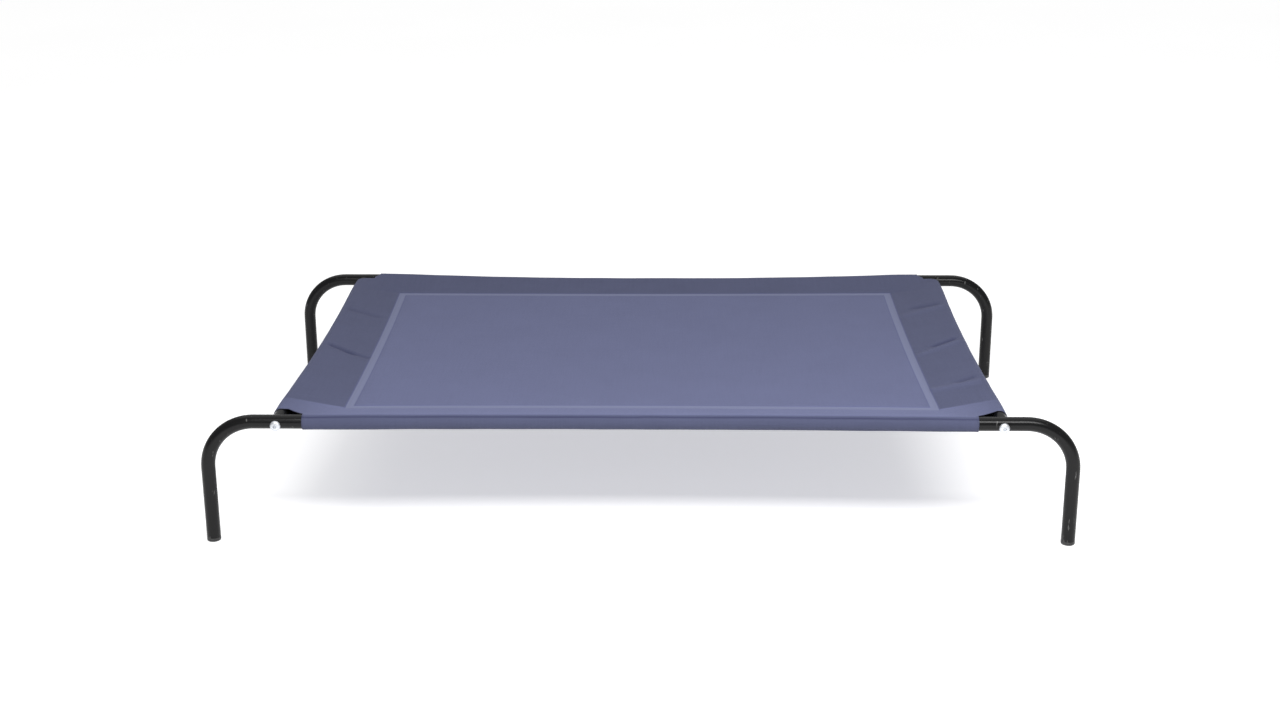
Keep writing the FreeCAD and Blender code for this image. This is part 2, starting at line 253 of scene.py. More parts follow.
# Both turned shapes start as a flat sheet whose X runs once around and whose Y runs from 0 to 1
# along the outline. The head's outline goes out across its flat seat and back over the dome.
outline = add(tree, "ShaderNodeMath", {0: along.outputs["Y"], 1: 0.5}, operation="ADD")
seat_part = add(tree, "ShaderNodeMapRange", {"Value": outline, "From Min": 0.0, "From Max": 0.25})
dome_part = add(
    tree, "ShaderNodeMapRange", {"Value": outline, "From Min": 0.25, "From Max": 1.0, "To Max": math.pi / 2}
)
dome_cosine = add(tree, "ShaderNodeMath", {0: dome_part}, operation="COSINE")
dome_cosine = add(tree, "ShaderNodeMath", {0: dome_cosine, 1: 0.0}, operation="MAXIMUM")
dome_width = add(tree, "ShaderNodeMath", {0: dome_cosine, 1: 0.55}, operation="POWER")
head_share = add(tree, "ShaderNodeMath", {0: seat_part, 1: dome_width}, operation="MULTIPLY")
head_radius = add(tree, "ShaderNodeMath", {0: head_share, 1: given["Head Radius"]}, operation="MULTIPLY")
dome_sine = add(tree, "ShaderNodeMath", {0: dome_part}, operation="SINE")
head_level = add(tree, "ShaderNodeMath", {0: dome_sine, 1: given["Head Height"]}, operation="MULTIPLY")
head_place = add(
    tree, "ShaderNodeCombineXYZ",
    {"X": add(tree, "ShaderNodeMath", {0: head_radius, 1: cosine}, operation="MULTIPLY"),
     "Y": add(tree, "ShaderNodeMath", {0: head_level, 1: -1.0}, operation="MULTIPLY"),
     "Z": add(tree, "ShaderNodeMath", {0: head_radius, 1: sine}, operation="MULTIPLY")},
)
head_sheet = add(
    tree, "GeometryNodeMeshGrid", {"Size X": 1.0, "Size Y": 1.0, "Vertices X": 49, "Vertices Y": 33}
)
head = add(tree, "GeometryNodeSetPosition", {"Geometry": head_sheet, "Position": head_place})
head = add(tree, "GeometryNodeMergeByDistance", {"Geometry": head, "Distance": 0.01 * MM})
socket_cutter = add(
    tree, "GeometryNodeMeshCylinder",
    {"Vertices": 6, "Radius": given["Socket Radius"],
     "Depth": add(tree, "ShaderNodeMath", {0: given["Socket Depth"], 1: 2.0}, operation="MULTIPLY")},
)
socket_place = add(
    tree, "ShaderNodeCombineXYZ",
    {"Y": add(tree, "ShaderNodeMath", {0: given["Head Height"], 1: -1.0}, operation="MULTIPLY")},
)
socket_cutter = add(
    tree, "GeometryNodeTransform",
    {"Geometry": socket_cutter, "Translation": socket_place, "Rotation": (math.pi / 2, 0.0, 0.0)},
)
head = add(
    tree, "GeometryNodeMeshBoolean", {"Mesh 1": head, "Mesh 2": socket_cutter},
    operation="DIFFERENCE", solver="MANIFOLD",
)
head = add(tree, "GeometryNodeMergeByDistance", {"Geometry": head, "Distance": 0.02 * MM})
head = add(tree, "GeometryNodeTriangulate", {"Mesh": head}, ngon_method="BEAUTY", quad_method="BEAUTY")

# The thread's outline rises and falls once a pitch, and each step around moves it on, which
# winds it into a helix. Its point is turned to a cone.
level = add(tree, "ShaderNodeMath", {0: outline, 1: given["Length"]}, operation="MULTIPLY")
turns = add(tree, "ShaderNodeMath", {0: level, 1: given["Pitch"]}, operation="DIVIDE")
wound = add(tree, "ShaderNodeMath", {0: turns, 1: along.outputs["X"]}, operation="ADD")
flank = add(tree, "ShaderNodeMath", {0: wound, 1: 0.5}, operation="PINGPONG")
groove = add(
    tree, "ShaderNodeMapRange",
    {"Value": flank, "From Min": 0.08, "From Max": 0.42, "To Max": given["Depth"]},
)
threaded = add(tree, "ShaderNodeMath", {0: given["Thread Radius"], 1: groove}, operation="SUBTRACT")
to_tip = add(tree, "ShaderNodeMath", {0: given["Length"], 1: level}, operation="SUBTRACT")
cone = add(
    tree, "ShaderNodeMath",
    {0: to_tip, 1: add(tree, "ShaderNodeMath", {0: given["Thread Radius"], 1: 0.72}, operation="MULTIPLY")},
    operation="ADD",
)
turned = add(tree, "ShaderNodeMath", {0: threaded, 1: cone}, operation="MINIMUM")
far_end = add(tree, "ShaderNodeMapRange", {"Value": outline, "From Min": 1.0, "From Max": 0.9995})
near_end = add(tree, "ShaderNodeMapRange", {"Value": outline, "From Min": 0.0, "From Max": 0.0005})
closed = add(tree, "ShaderNodeMath", {0: far_end, 1: near_end}, operation="MULTIPLY")
shank_radius = add(tree, "ShaderNodeMath", {0: turned, 1: closed}, operation="MULTIPLY")
shank_place = add(
    tree, "ShaderNodeCombineXYZ",
    {"X": add(tree, "ShaderNodeMath", {0: shank_radius, 1: cosine}, operation="MULTIPLY"),
     "Y": level,
     "Z": add(tree, "ShaderNodeMath", {0: shank_radius, 1: sine}, operation="MULTIPLY")},
)
shank_sheet = add(
    tree, "GeometryNodeMeshGrid", {"Size X": 1.0, "Size Y": 1.0, "Vertices X": 25, "Vertices Y": 261}
)
shank = add(tree, "GeometryNodeSetPosition", {"Geometry": shank_sheet, "Position": shank_place})
shank = add(tree, "GeometryNodeMergeByDistance", {"Geometry": shank, "Distance": 0.01 * MM})
shank = add(tree, "GeometryNodeFlipFaces", {0: shank})
screw = add(tree, "GeometryNodeJoinGeometry")
for part in (shank, head):
    tree.links.new(part.outputs[0], screw.inputs[0])
facing = add(tree, "GeometryNodeInputNamedAttribute", {"Name": "facing"}, data_type="FLOAT")
turned_to = add(tree, "ShaderNodeCombineXYZ", {"Z": facing})
placed = add(
    tree, "GeometryNodeInstanceOnPoints",
    {"Points": given["Seats"], "Instance": screw, "Rotation": turned_to},
)
real = add(tree, "GeometryNodeRealizeInstances", {"Geometry": placed})
bend = add(tree, "GeometryNodeInputMeshEdgeAngle")
sharp = add(tree, "FunctionNodeCompare", {0: bend, 1: math.radians(35)}, operation="LESS_THAN")
smooth = add(tree, "GeometryNodeSetShadeSmooth", {"Geometry": real, "Shade Smooth": sharp}, domain="EDGE")
coated = add(tree, "GeometryNodeSetMaterial", {"Geometry": smooth, "Material": given["Finish"]})
tree.links.new(coated.outputs[0], add(tree, "NodeGroupOutput").inputs[0])

# Each screw's seat is where its head meets the side tube; rear screws face the other way.
screw_nodes = [name for name in nodes if name.startswith("bolt_")]
seats, facings = [], []
for name in screw_nodes:
    low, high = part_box(name)
    rear = (low.y + high.y) > 0
    outer_face = high.y if rear else low.y
    seat_face = outer_face - HEAD_HEIGHT if rear else outer_face + HEAD_HEIGHT
    seats.append(((low.x + high.x) / 2, seat_face, (low.z + high.z) / 2))
    facings.append(math.pi if rear else 0.0)
screw_length = high.y - low.y - HEAD_HEIGHT
seat_mesh = bpy.data.meshes.new("screw seats")
seat_mesh.from_pydata(seats, [], [])
seat_mesh.attributes.new("facing", "FLOAT", "POINT").data.foreach_set("value", facings)
seat_object = bpy.data.objects.new("screw seats", seat_mesh)
bpy.context.scene.collection.objects.link(seat_object)
maker = seat_object.modifiers.new("screws", "NODES")
maker.node_group = tree
screw_sizes = {
    "Head Radius": HEAD_DIAMETER / 2,
    "Head Height": HEAD_HEIGHT,
    "Socket Radius": SOCKET_WIDTH / math.sqrt(3),
    "Socket Depth": SOCKET_DEPTH,
    "Length": screw_length,
    "Thread Radius": THREAD_DIAMETER / 2,
    "Pitch": THREAD_PITCH,
    "Depth": THREAD_DEPTH,
    "Finish": zinc_plate,
}
for name, size in screw_sizes.items():
    maker[screw_inputs[name]] = size
made = seat_object.evaluated_get(bpy.context.evaluated_depsgraph_get())
screws = bpy.data.objects.new("corner_screws", bpy.data.meshes.new_from_object(made))
bpy.context.scene.collection.objects.link(screws)
bpy.data.objects.remove(seat_object)
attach(screws, "root")
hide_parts(*screw_nodes)


# ---------------------------------------------------------------- sling
# One sheet of coarse polyester cloth, coated on its back. Its four edges are folded under and
# welded to it in a pressed strip, which leaves a sleeve that the tubes run through. Its corners
# are cut away, so the sleeves end in open mouths beside the joints of the frame.

sling_nodes = ["sling_panel", "sling_hem_front", "sling_hem_rear", "sling_hem_left", "sling_hem_right"]

CLOTH = 0.9 * MM
SLEEVE_RADIUS = TUBE_RADIUS + 0.4 * MM + CLOTH / 2     # middle of the cloth, round a tube
CAD_STRIP_HALF = 4.5 * MM                               # the strip that the CAD hems lie on
STRIP_HALF = 5.8 * MM                                   # the press's dies spread the mark wider
STRIP_PRESS = 0.2 * MM                                  # how far the press sinks each face
LAYER_HALF = CLOTH / 2                                  # the two layers lie face to face
SAG = 8 * MM                                            # at the middle of the panel

# The frame's own places: the tube axes at the corners, and the height that the welds lie at.
front_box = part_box("leg_tube_front_right")
end_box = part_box("end_rail_right")
side_y = -front_box[0].y - TUBE_RADIUS
side_z = front_box[1].z - TUBE_RADIUS
side_bow = front_box[1].y - TUBE_RADIUS + side_y
end_z = end_box[1].z - TUBE_RADIUS
end_x = end_box[1].x - TUBE_RADIUS
end_bow = end_x - TUBE_RADIUS - end_box[0].x
weld_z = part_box("sling_panel")[1].z - CLOTH
weld_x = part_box("sling_hem_right")[0].x + CAD_STRIP_HALF
weld_y = -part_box("sling_hem_front")[1].y - CAD_STRIP_HALF

SIDE_BOW_DROP = 3.7 * MM        # how far the sling pulls the middle of a long side down
SIDE_BOW_START = 28 * MM        # from the cross tube's axis
SIDE_STRAIGHT = 52 * MM         # either side of the joint at the middle of a long side
END_BOW_START = 45 * MM         # from the side tube's axis
BOW_LEAD = 60 * MM


def bow(distance, start, straight, depth):
    """How far a bowed tube lies inside its straight line: two arcs that meet without a kink."""
    if distance >= start:
        return 0.0
    turn = 2 * math.atan(depth / (start - straight))
    lead_radius = BOW_LEAD / math.sin(turn)
    long_radius = (start - BOW_LEAD - straight) / math.sin(turn)
    if distance > start - BOW_LEAD:
        return lead_radius - math.sqrt(lead_radius ** 2 - (start - distance) ** 2)
    run = max(distance - straight, 0.0)
    return depth - long_radius + math.sqrt(long_radius ** 2 - run ** 2)


def side_axis(x):
    """(distance from the bed's middle line, height) of a long side's axis."""
    depth = math.hypot(side_bow, SIDE_BOW_DROP)
    inset = bow(abs(x), end_x - SIDE_BOW_START, SIDE_STRAIGHT, depth)
    return side_y - inset * side_bow / depth, side_z - inset * SIDE_BOW_DROP / depth


def end_axis(y):
    """The same for a cross tube."""
    return end_x - bow(abs(y), side_y - END_BOW_START, 0.0, end_bow), end_z


# The welds were set by hand, so the front hem came out narrower than the rear one, and the left
# end's weld runs a little askew. The pull of the cloth bends them inwards, less than the tubes.
WELD_Y = {-1: weld_y + 15 * MM, 1: weld_y + 4 * MM}
WELD_X = {-1: weld_x + 2.5 * MM, 1: weld_x + 1.5 * MM}
SIDE_SKEW = {-1: 0.0, 1: 3 * MM}        # further out by this at the right end, nearer at the left
END_SKEW = {-1: 4.5 * MM, 1: -1.5 * MM}                 # further out by this at the rear
WELD_BOW_SIDE = 4.5 * MM
WELD_BOW_END = 3.0 * MM


def side_weld(side, x):
    """How far the weld of the front (-1) or rear (1) sleeve lies from the bed's middle line."""
    return WELD_Y[side] + SIDE_SKEW[side] * x / weld_x - WELD_BOW_SIDE * max(0.0, 1 - (x / weld_x) ** 2)


def end_weld(side, y):
    """The same for the left (-1) or right (1) end."""
    return WELD_X[side] + END_SKEW[side] * y / weld_y - WELD_BOW_END * max(0.0, 1 - (y / weld_y) ** 2)


# Cuts at the corners. The end sleeves stop short of the side tubes, the side sleeves stop
# short of the cross tubes, and a slanting cut joins the two.
END_MOUTH = {-1: side_y - 34 * MM, 1: side_y - 14 * MM}         # front, rear
# (end, side) from the left and the front, which are -1.
SIDE_MOUTH = {(-1, -1): 497 * MM, (1, -1): 496 * MM, (-1, 1): 505 * MM, (1, 1): 505 * MM}
SLANT_START = {(-1, -1): 526 * MM, (1, -1): 529 * MM, (-1, 1): 514 * MM, (1, 1): 514 * MM}


def sleeve(reach, rise, zone, share, puff=0.0):
    """One point of a sleeve's section, from the weld's middle out and back underneath: how far out
    it lies, how high above the weld, and which way is out of the cloth."""
    radius = SLEEVE_RADIUS + puff
    if zone == "strip":
        return STRIP_HALF * share, LAYER_HALF - STRIP_PRESS, math.pi / 2
    if zone == "under":
        return STRIP_HALF * (1 - 2 * share), -LAYER_HALF + STRIP_PRESS, -math.pi / 2
    drop = rise - LAYER_HALF
    far = math.hypot(reach - STRIP_HALF, drop)
    top_slope = math.atan2(drop, reach - STRIP_HALF) + math.asin(radius / far)
    top_run = math.sqrt(far ** 2 - radius ** 2)
    low = rise + LAYER_HALF
    low_far = math.hypot(reach - STRIP_HALF, low)
    low_slope = math.atan2(low, reach - STRIP_HALF) - math.asin(radius / low_far)
    low_run = math.sqrt(low_far ** 2 - radius ** 2)
    if zone == "top":
        run = top_run * share
        out, up = STRIP_HALF + run * math.cos(top_slope), LAYER_HALF + run * math.sin(top_slope)
        return out, up, top_slope + math.pi / 2
    if zone == "bottom":
        run = low_run * (1 - share)
        out, up = STRIP_HALF + run * math.cos(low_slope), -LAYER_HALF + run * math.sin(low_slope)
        return out, up, low_slope - math.pi / 2
    first = top_slope + math.pi / 2
    last = low_slope - math.pi / 2
    angle = first + (last - first) * share
    return reach + radius * math.cos(angle), rise + radius * math.sin(angle), angle


def flat_lengths(reach, rise):
    """The flat widths of a sleeve's zones, from the weld out and back under it."""
    top_end = sleeve(reach, rise, "top", 1.0)
    top = math.hypot(top_end[0] - STRIP_HALF, top_end[1] - LAYER_HALF)
    low_end = sleeve(reach, rise, "bottom", 0.0)
    low = math.hypot(low_end[0] - STRIP_HALF, low_end[1] + LAYER_HALF)
    wrap = SLEEVE_RADIUS * (top_end[2] - low_end[2])
    return {"strip": STRIP_HALF, "top": top, "wrap": wrap, "bottom": low, "under": 2 * STRIP_HALF}


side_flat = {side: flat_lengths(side_y - WELD_Y[side], side_z - weld_z) for side in (-1, 1)}
end_flat = {side: flat_lengths(end_x - WELD_X[side], end_z - weld_z) for side in (-1, 1)}
side_hem = {side: sum(side_flat[side].values()) for side in (-1, 1)}
end_hem = {side: sum(end_flat[side].values()) for side in (-1, 1)}

# The mesh has lines both ways. Each line is (side, zone, share or place, flat coordinate), where
# side is -1, 0 or 1 and the flat coordinate is where the line lies on the cut sheet.
STRIP_STEP = 0.7 * MM           # the ramp from the pressed strip up to the loose cloth
ROW_CELL = 6 * MM
COLUMN_CELL = 14 * MM
CREASE_CELL = 2 * MM            # rows lie closer where the creases are
CREASE_BAND = (-72 * MM, 34 * MM)
FOLD_ANGLE = math.radians(52)   # above level, where the front sleeve keeps its packing fold
FOLD_WIDTH = math.radians(12)


def wrap_shares(count, fine_at=None, fine_half=0.05, fine_count=8):
    """Shares of the way round a tube, closer together about fine_at."""
    shares = {round(i / count, 4) for i in range(count + 1)}
    if fine_at is not None:
        shares = {s for s in shares if abs(s - fine_at) > fine_half}
        steps = range(-fine_count, fine_count + 1)
        shares |= {round(fine_at + fine_half * i / fine_count, 4) for i in steps}
    return sorted(shares)


def sleeve_lines(side, flat, weld, top, wrap, bottom):
    """The lines along one sleeve, from its weld outward and back underneath."""
    lines = [(side, "strip", 0.5), (side, "strip", 1.0)]
    lines += [(side, "top", max(i / top, STRIP_STEP / flat["top"])) for i in range(top)]
    lines += [(side, "wrap", share) for share in wrap]
    last = 1 - STRIP_STEP / flat["bottom"]
    lines += [(side, "bottom", min(i / bottom, last)) for i in range(1, bottom + 1)]
    lines += [(side, "under", i / 4) for i in range(5)]
    zones = list(flat)
    done = {zone: weld + sum(flat[z] for z in zones[:zones.index(zone)]) for zone in zones}
    return [(s, zone, share, side * (done[zone] + share * flat[zone])) for s, zone, share in lines]


def evenly(low, high, cell):
    """Places from low up to high, but without it, about a cell apart."""
    count = max(1, round((high - low) / cell))
    return [low + (high - low) * i / count for i in range(count)]


def sheet_lines(welds, cell, low_sleeve, high_sleeve, band=()):
    """All lines in one direction, from one cut edge to the other."""
    low, high = -welds[-1] + STRIP_HALF + STRIP_STEP, welds[1] - STRIP_HALF - STRIP_STEP
    stops = [low, *band, high]
    cells = [cell, CREASE_CELL, cell]
    places = [place for span in zip(stops, stops[1:], cells) for place in evenly(*span)] + [high]
    for side in (-1, 1):
        inner = [side * (welds[side] - STRIP_HALF * share) for share in (1, 0.5, 0)]
        places = inner[::-1] + places if side < 0 else places + inner
    inside = (-welds[-1] + STRIP_HALF + 1e-6, welds[1] - STRIP_HALF - 1e-6)
    panel = [(0, "panel" if inside[0] < p < inside[1] else "strip", p, p) for p in places]
    return low_sleeve[::-1] + panel + high_sleeve


fold_share = (math.radians(99) - FOLD_ANGLE) / math.radians(205)
rows = sheet_lines(
    WELD_Y, ROW_CELL,
    sleeve_lines(-1, side_flat[-1], WELD_Y[-1], 10, wrap_shares(18, fold_share, 0.12, 8), 5),
    sleeve_lines(1, side_flat[1], WELD_Y[1], 14, wrap_shares(18), 6),
    CREASE_BAND,
)
columns = sheet_lines(
    WELD_X, COLUMN_CELL,
    sleeve_lines(-1, end_flat[-1], WELD_X[-1], 18, wrap_shares(18), 6),
    sleeve_lines(1, end_flat[1], WELD_X[1], 18, wrap_shares(18), 6),
)


def line_place(line, along, axis, weld, welds):
    """Where a line runs at the distance along: (place across, rise above the weld, outside's tilt)."""
    side, zone, share, flat = line
    if side == 0:
        near = 1 if share > 0 else -1
        return share * weld(near, along) / welds[near], LAYER_HALF, math.pi / 2
    here = weld(side, along)
    reach, height = axis(along)
    out, rise, tilt = sleeve(reach - here, height - weld_z, zone, share)
    return side * (here + out), rise, tilt


def row_place(row, x):
    return line_place(row, x, side_axis, side_weld, WELD_Y)


def column_place(column, y):
    return line_place(column, y, end_axis, end_weld, WELD_X)


WRAPPED = ("wrap", "bottom", "under")
CREASE_PAINTED_SHADE = 0.6              # painted shade in a sunk crease

# Creases that the pull of the frame leaves on the end sleeves: (from, to, half width, height),
# with a negative height for a fold that sinks. A sunk fold gets painted shade, a crest a painted highlight.
CREASES = [
    ((-0.527, -0.029), (-0.481, -0.063), 4.5 * MM, -3 * MM),
    ((-0.481, -0.063), (-0.452, -0.076), 5 * MM, -1.8 * MM),
    ((-0.518, 0.168), (-0.475, 0.151), 8 * MM, -1.3 * MM),
    ((0.486, -0.017), (0.519, 0.005), 5 * MM, -3.2 * MM),
    ((0.461, -0.053), (0.521, -0.016), 8 * MM, 2 * MM),
    ((0.5, -0.206), (0.526, -0.192), 6 * MM, -2 * MM),
    ((0.45, -0.233), (0.52, -0.22), 9 * MM, 2.4 * MM),
    ((0.487, 0.206), (0.529, 0.213), 9 * MM, -2 * MM),
    ((0.467, 0.168), (0.529, 0.196), 11 * MM, 1.6 * MM),
]


def crease_height(x, y):
    """How far the creases lift or sink the cloth at a place."""
    total = 0.0
    for (x1, y1), (x2, y2), half, lift in CREASES:
        run = Vector((x2 - x1, y2 - y1))
        t = (Vector((x, y)) - Vector((x1, y1))).dot(run) / run.length_squared
        if -0.5 < t < 1.5:
            away = (Vector((x, y)) - Vector((x1, y1)) - t * run).length / half
            beyond = max(0.0, -t, t - 1) * run.length / (2 * half)
            total += lift * math.exp(-away * away - beyond * beyond)
    return total


def crease_lift(x, y, tangent):
    """The same on an end sleeve, where a fold can't sink further than the tube lets it."""
    room = max(0.0, tangent - abs(x)) ** 2 / (2 * SLEEVE_RADIUS)
    return max(crease_height(x, y), -0.9 * room)


def soft(place, size, seed):
    """Smooth noise from -1 to 1, the same in every run."""
    return noise.noise(Vector(place) / size + Vector((seed, seed, seed)))


def front_fold(x, angle):
    """The fold along the front sleeve: (how far it lifts the cloth off the tube, how deep it is here, which
    also sets the painted shade along it).
    """
    wander = math.radians(2.5) * soft((x, 0, 0), 0.09, 3.7)
    if x > 0:
        wander += math.radians(4) * math.exp(-x / 0.03)
    off = (angle - FOLD_ANGLE - wander) / FOLD_WIDTH
    depth = math.exp(-off * off * 2.2)
    strength = 0.75 + 0.25 * soft((x, 0, 0), 0.15, 8.1)
    lift = 0.7 * MM * math.exp(-(off / 3.2) ** 2) - 1.0 * MM * strength * depth
    return lift, depth * strength


def top_rise(place, line, along):
    """How high the top of a sleeve stands over its weld."""
    return place((line[0], "top", 1.0, 0), along)[1] - LAYER_HALF


def tuck(x, share):
    """How far the underside of a side sleeve dips at the corners, where it passes below an end's."""
    start = WELD_X[1 if x > 0 else -1] - STRIP_HALF - STRIP_STEP - COLUMN_CELL
    return 1.2 * CLOTH * share * min(1.0, max(0.0, (abs(x) - start) / COLUMN_CELL))


def cloth_point(row, column):
    """A point of the sheet, the way out of it, its place on the flat cut and its painted shade: dark in the
    front fold and sunk creases, and below zero a painted highlight on crests.
    """
    row_side, row_zone, row_share, row_flat = row
    column_side, column_zone, _, column_flat = column
    x = column_place(column, row_flat if row_side == 0 else row_side * WELD_Y[row_side])[0]
    y, side_rise, side_tilt = row_place(row, min(max(x, -WELD_X[-1]), WELD_X[1]))
    flat_x = column_flat
    corner = (column_side, row_side)
    past_mouth = row_side and (row_zone in WRAPPED or abs(y) > END_MOUTH[row_side])
    if past_mouth and column_side:
        tangent = abs(row_place((row_side, "top", 1.0, 0), x)[0])
        mouth = END_MOUTH[row_side]
        slant = 1.0 if row_zone in WRAPPED else (abs(y) - mouth) / (tangent - mouth)
        limit = SLANT_START[corner] + slant * (SIDE_MOUTH[corner] - SLANT_START[corner])
        weld = WELD_X[column_side]
        share = (limit - weld) / (SLANT_START[corner] - weld)
        x = column_side * (weld + (abs(x) - weld) * share)
        flat_x = column_side * (weld + (abs(column_flat) - weld) * share)
    if row_zone in WRAPPED or (row_side and not column_side):
        y, side_rise, side_tilt = row_place(row, x)
    ripple = 0.35 * MM * soft((x, y, 0), 0.05, 1.3)
    if row_zone in WRAPPED:
        lift, fold = 0.0, 0.0
        if row_zone == "wrap" and row_side < 0:
            lift, fold = front_fold(x, side_tilt)
        if row_zone != "under":
            lift += max(ripple, -0.2 * MM)
        if row_zone != "wrap":
            side_rise -= tuck(x, row_share if row_zone == "bottom" else 1.0)
        out = Vector((0, row_side * math.cos(side_tilt), math.sin(side_tilt)))
        return Vector((x, y, weld_z + side_rise)) + lift * out, (flat_x, row_flat), fold
    x_end, end_rise, end_tilt = column_place(column, y)
    if column_zone in WRAPPED:
        lift = max(ripple, -0.2 * MM) if column_zone != "under" else 0.0
        if column_zone == "wrap":
            lift += 0.5 * max(0.0, crease_height(x_end, y)) * max(0.0, math.sin(end_tilt))
        out = Vector((column_side * math.cos(end_tilt), 0, math.sin(end_tilt)))
        return Vector((x_end, y, weld_z + end_rise)) + lift * out, (flat_x, row_flat), 0.0
    up_side, full_side, up_end, full_end = 0.0, 1.0, 0.0, 1.0
    if row_side:
        up_side, full_side = side_rise - LAYER_HALF, top_rise(row_place, row, x)
    if column_side:
        up_end, full_end = end_rise - LAYER_HALF, top_rise(column_place, column, y)
    across, along = max(up_side, 0.0) / full_side, max(up_end, 0.0) / full_end
    past = min(max((across - 0.6) / 0.4, 0.0), 1.0)
    crest = full_side * past + full_end * (1 - past)
    rise = LAYER_HALF + full_side * across * (1 - along) + full_end * along * (1 - across)
    rise += crest * across * along
    in_strip = "strip" in (row_zone, column_zone) and "top" not in (row_zone, column_zone)
    if in_strip:
        rise -= STRIP_PRESS
    if not row_side and not column_side:
        rise -= SAG * math.cos(math.pi / 2 * x / weld_x) * math.cos(math.pi / 2 * y / weld_y)
        ripple = 0.5 * MM * soft((x, y, 0), 0.16, 5.2) if not in_strip else 0.0
    elif in_strip:
        ripple = 0.0
    crease = 0.0
    if column_side and not in_strip:
        crease = crease_lift(x, y, abs(column_place((column_side, "top", 1.0, 0), y)[0]))
    rise += ripple + crease
    # Painted shade where a crease sinks and painted highlight where it rises, handed on to the material.
    shade = CREASE_PAINTED_SHADE * min(1.0, max(-1.0, -crease / (2.4 * MM)))
    return Vector((x, y, weld_z + rise)), (flat_x, row_flat), shade


# Which lines meet in the cut-away corners: there the sheet has no cloth.
def beyond_mouth(line, row):
    """Whether a column lies past the slanting cut (row: past the mouths of the end sleeves)."""
    side, zone, share, flat = line
    if side == 0:
        return False
    if zone in WRAPPED:
        return True
    if row:
        return abs(row_place(line, side * weld_x)[0]) > END_MOUTH[side] + 1e-5
    return False


def snap_rows():
    """Moves the row nearest to each end mouth onto it, so the mouths are cut straight."""
    for side in (-1, 1):
        target = END_MOUTH[side] - WELD_Y[side]
        full = abs(row_place((side, "top", 1.0, 0), weld_x)[0]) - WELD_Y[side]
        share = (target - STRIP_HALF) / (full - STRIP_HALF)
        best = min(
            (i for i, r in enumerate(rows) if r[0] == side and r[1] == "top"),
            key=lambda i: abs(rows[i][2] - share),
        )
        flat = WELD_Y[side] + STRIP_HALF + share * side_flat[side]["top"]
        rows[best] = (side, "top", share, side * flat)


def snap_columns():
    """The same for the columns where the slanting cuts start."""
    for side in (-1, 1):
        for target in {SLANT_START[(side, -1)], SLANT_START[(side, 1)]}:
            full = abs(column_place((side, "top", 1.0, 0), weld_y)[0]) - WELD_X[side]
            share = (target - WELD_X[side] - STRIP_HALF) / (full - STRIP_HALF)
            best = min(
                (i for i, c in enumerate(columns) if c[0] == side and c[1] == "top"),
                key=lambda i: abs(columns[i][2] - share),
            )
            flat = WELD_X[side] + STRIP_HALF + share * end_flat[side]["top"]
            columns[best] = (side, "top", share, side * flat)


snap_rows()
snap_columns()


def cut_away(row_a, row_b, column_a, column_b):
    """Whether the cell between two rows and two columns lies in a corner's cut."""
    far_row = row_a if abs(row_a[3]) > abs(row_b[3]) else row_b
    far_column = column_a if abs(column_a[3]) > abs(column_b[3]) else column_b
    if not (far_row[0] and far_column[0] and beyond_mouth(far_row, True)):
        return False
    start = SLANT_START[(far_column[0], far_row[0])]
    return far_column[1] in WRAPPED or abs(column_place(far_column, weld_y)[0]) > start + 0.05 * MM


points, flats, folds, index = [], [], [], {}
faces = []


def corner_of(i, j):
    """The number of the vertex where row j and column i meet, made when it is first asked for."""
    if (i, j) not in index:
        point, flat, fold = cloth_point(rows[j], columns[i])
        index[i, j] = len(points)
        points.append(point)
        flats.append(flat)
        folds.append(fold)
    return index[i, j]


for j in range(len(rows) - 1):
    for i in range(len(columns) - 1):
        if not cut_away(rows[j], rows[j + 1], columns[i], columns[i + 1]):
            faces.append(
                (corner_of(i, j), corner_of(i + 1, j), corner_of(i + 1, j + 1), corner_of(i, j + 1))
            )

mesh = bpy.data.meshes.new("sling")
mesh.from_pydata(points, [], faces)
sling = bpy.data.objects.new("sling", mesh)
bpy.context.scene.collection.objects.link(sling)
cut = mesh.uv_layers.new(name="cut_sheet")
for loop in mesh.loops:
    cut.data[loop.index].uv = flats[loop.vertex_index]
# The painted shade of the front fold and sunk creases, below zero the painted highlight of crests.
painted_fold_shade = mesh.attributes.new("painted_fold_shade", "FLOAT", "POINT")
painted_fold_shade.data.foreach_set("value", folds)
mesh.shade_smooth()

# Coated cloth: coarse spun polyester in a plain weave, dyed blue-grey, with a sheen across its
# threads. The press melts its threads flat at the welds, which turn paler and a little glossy.
CLOTH_WARP = linear("64698b")
CLOTH_WEFT = linear("6e7393")
# painted shade for the dips between the threads
CLOTH_GAP_SHADE = linear("464a68")
WELD_PALE = linear("707591")
WELD_EDGE_SHADE = linear("565b80")
# painted shade drawn into the front fold and the sunk creases
FOLD_PAINTED_SHADE = linear("2c2e4c")
DOUBLED_PAINTED_SHADE = 0.34            # painted shade: how much darker the sleeves' two layers are drawn than the panel's one
FRONT_SHEEN_LIFT = 0.18              # painted sheen: how much paler the top of the front sleeve is drawn
CORNER_SPREAD = 0.12            # how far the painted sheen of the front spreads over the corners
UNDERSIDE_PAINTED_SHADE = 0.20             # painted shade: how much darker the underside of the front sleeve is drawn
CREST_PAINTED_HIGHLIGHT = 0.16               # painted highlight: how much paler the crest beside a crease is drawn
DYE_LEVEL = 0.80                # brightness of the dye before its unevenness is added
UNEVENNESS = 0.10
THREAD = 1.2 * MM               # real threads lie about 0.55 mm apart, drawn coarser to show
SLUB_LENGTH = 40 * MM           # thick and thin places along a thread
CLOUDING = 90 * MM              # the dye's patchiness
STRIP_RAMP = 0.4 * MM           # how soft the pressed strip's edge is
RIM_WIDTH = 1.6 * MM            # the cloth beside the weld, darkened as painted shade
RIB_PITCH = 2.0 * MM            # the press's fine slanting ribs

